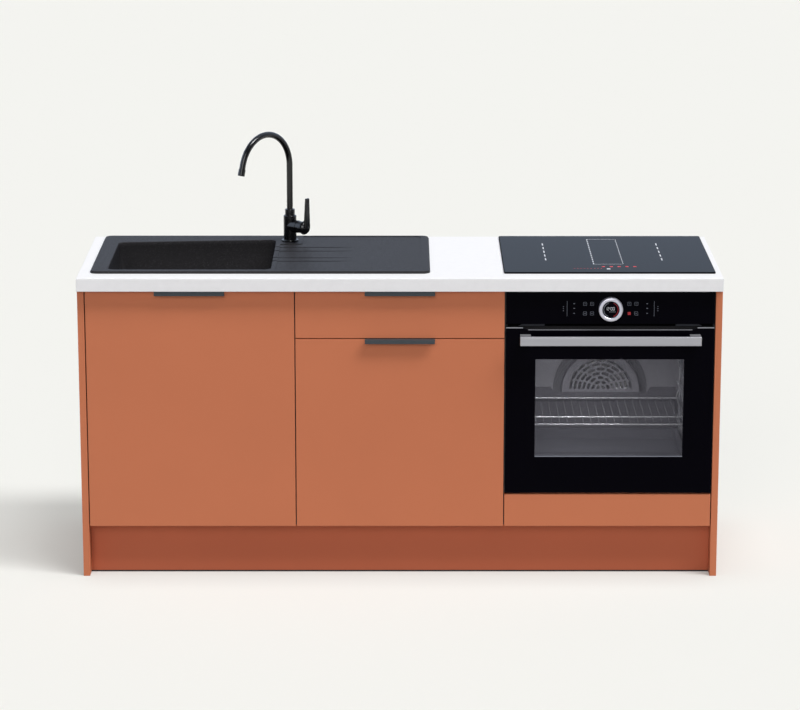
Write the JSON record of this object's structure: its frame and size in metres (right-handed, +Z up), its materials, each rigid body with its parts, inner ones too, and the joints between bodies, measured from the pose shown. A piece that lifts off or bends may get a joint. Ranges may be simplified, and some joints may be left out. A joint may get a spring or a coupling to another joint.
{
  "type": "kitchen base cabinet",
  "caption": "Kitchen base cabinet run with sink door, drawers and built-in oven under one worktop carrying an inset sink with drainer, a swan-neck tap and a glass hob.",
  "frame": {"origin": "middle of the run's bounding box on the floor", "axes": "+X to the right seen from the front, +Y towards the wall, +Z up"},
  "size_m": [1.838, 0.62, 1.2375],
  "materials": {
    "terracotta_lacquer": "satin lacquer",
    "white_board": "melamine faced",
    "white_laminate": "matt laminate",
    "black_plastic": "moulded",
    "pull_black": "powder coated",
    "zinc_steel": "zinc plated",
    "sink_composite": "fine grained composite",
    "steel": "polished",
    "white_plastic": "moulded",
    "tap_black": "matt black",
    "hob_glass": "ceramic glass",
    "copper": "wound wire",
    "enamel": "vitreous enamel",
    "black_glass": "gloss",
    "door_glass": "tinted",
    "frame_black": "satin black",
    "bar_grey": "brushed",
    "knob_grey": "satin",
    "seal_rubber": "matt",
    "chrome_wire": "chromed wire",
    "element_steel": "sheathed tube"
  },
  "bodies": {
    "cabinet": {"end_panel_left": "terracotta_lacquer", "end_panel_right": "terracotta_lacquer", "plinth": "terracotta_lacquer", "oven_filler_panel": "terracotta_lacquer", "carcass_sides": "white_board", "carcass_bottoms": "white_board", "carcass_rails": "white_board", "drawer_unit_back": "white_board", "worktop": "white_laminate", "levelling_feet": "black_plastic", "plinth_clips": "black_plastic", "oven_vent_trim": "black_plastic", "tap_fixing_nut": "black_plastic", "door_hinge_brackets": "zinc_steel", "runner_rails": "zinc_steel", "oven_casing": "zinc_steel", "oven_hinge_receivers": "zinc_steel", "hob_casing": "zinc_steel", "oven_fan_motor": "zinc_steel", "sink": "sink_composite", "sink_waste": "steel", "waste_trap": "white_plastic", "tap_base_ring": "tap_black", "tap_body": "tap_black", "tap_collar": "tap_black", "hob_glass": "hob_glass", "hob_coils": "copper", "oven_cavity": "enamel", "oven_fan_cover": "enamel", "oven_baking_tray": "enamel", "oven_fascia": "black_glass", "oven_display": "black_glass", "oven_gasket": "seal_rubber", "oven_shelf_racks": "chrome_wire", "oven_wire_shelf": "chrome_wire", "oven_heating_elements": "element_steel"},
    "sink_door": {"sink_door": "terracotta_lacquer", "sink_door_handle": "pull_black"},
    "cutlery_drawer": {"cutlery_drawer_front": "terracotta_lacquer", "cutlery_drawer_handle": "pull_black", "cutlery_drawer_box": "white_board", "cutlery_runner_slides": "zinc_steel"},
    "cutlery_runner": {"cutlery_runner_middles": "zinc_steel"},
    "deep_drawer": {"deep_drawer_front": "terracotta_lacquer", "deep_drawer_handle": "pull_black", "deep_drawer_box": "white_board", "deep_runner_slides": "zinc_steel"},
    "deep_runner": {"deep_runner_middles": "zinc_steel"},
    "oven_door": {"oven_door_glass": "door_glass", "oven_door_inner_glass": "door_glass", "oven_door_frame": "frame_black", "oven_door_handle": "bar_grey"},
    "oven_knob": {"oven_knob": "knob_grey"},
    "oven_fan": {"oven_fan": "steel"},
    "tap_spout": {"tap_spout": "tap_black", "tap_aerator": "tap_black"},
    "tap_hub": {"tap_cartridge_cover": "tap_black"},
    "tap_lever": {"tap_lever": "tap_black"},
    "basket": {"basket_strainer": "steel"}
  },
  "joints": [
    {"name": "sink_door_hinge", "type": "hinge", "parent": "cabinet", "child": "sink_door", "pos_m": [-0.891, -0.264, 0.5], "axis": [0, 0, -1], "range_deg": [0, 100]},
    {"name": "cutlery_drawer_slide", "type": "slide", "parent": "cabinet", "child": "cutlery_drawer", "axis": [0, -1, 0], "range_m": [0, 0.45]},
    {"name": "cutlery_runner_slide", "type": "slide", "parent": "cabinet", "child": "cutlery_runner", "axis": [0, -1, 0], "range_m": [0, 0.225]},
    {"name": "deep_drawer_slide", "type": "slide", "parent": "cabinet", "child": "deep_drawer", "axis": [0, -1, 0], "range_m": [0, 0.45]},
    {"name": "deep_runner_slide", "type": "slide", "parent": "cabinet", "child": "deep_runner", "axis": [0, -1, 0], "range_m": [0, 0.225]},
    {"name": "oven_door_hinge", "type": "hinge", "parent": "cabinet", "child": "oven_door", "pos_m": [0.6, -0.264, 0.2615], "axis": [1, 0, 0], "range_deg": [0, 90], "stiffness_Nm_per_rad": 6, "springref_deg": -22.92},
    {"name": "oven_knob_turn", "type": "hinge", "parent": "cabinet", "child": "oven_knob", "pos_m": [0.6, -0.272, 0.797], "axis": [0, -1, 0], "continuous": true},
    {"name": "oven_fan_spin", "type": "hinge", "parent": "cabinet", "child": "oven_fan", "pos_m": [0.6, 0.151, 0.46], "axis": [0, -1, 0], "continuous": true},
    {"name": "tap_spout_swivel", "type": "hinge", "parent": "cabinet", "child": "tap_spout", "pos_m": [-0.328, 0.213, 0.973], "axis": [0, 0, 1], "range_deg": [-30, 120]},
    {"name": "tap_lever_turn", "type": "hinge", "parent": "cabinet", "child": "tap_hub", "pos_m": [-0.30257, 0.19166, 0.942], "axis": [0.766, -0.6428, 0], "range_deg": [-45, 45]},
    {"name": "tap_lever_lift", "type": "hinge", "parent": "tap_hub", "child": "tap_lever", "pos_m": [-0.28878, 0.18009, 0.942], "axis": [0.6428, 0.766, 0], "range_deg": [0, 20]},
    {"name": "basket_lift", "type": "slide", "parent": "cabinet", "child": "basket", "axis": [0, 0, 1], "range_m": [0, 0.06]}
  ],
  "couplings": [
    {"joint": "cutlery_runner_slide", "follows": "cutlery_drawer_slide", "ratio": 0.5},
    {"joint": "deep_runner_slide", "follows": "deep_drawer_slide", "ratio": 0.5}
  ]
}
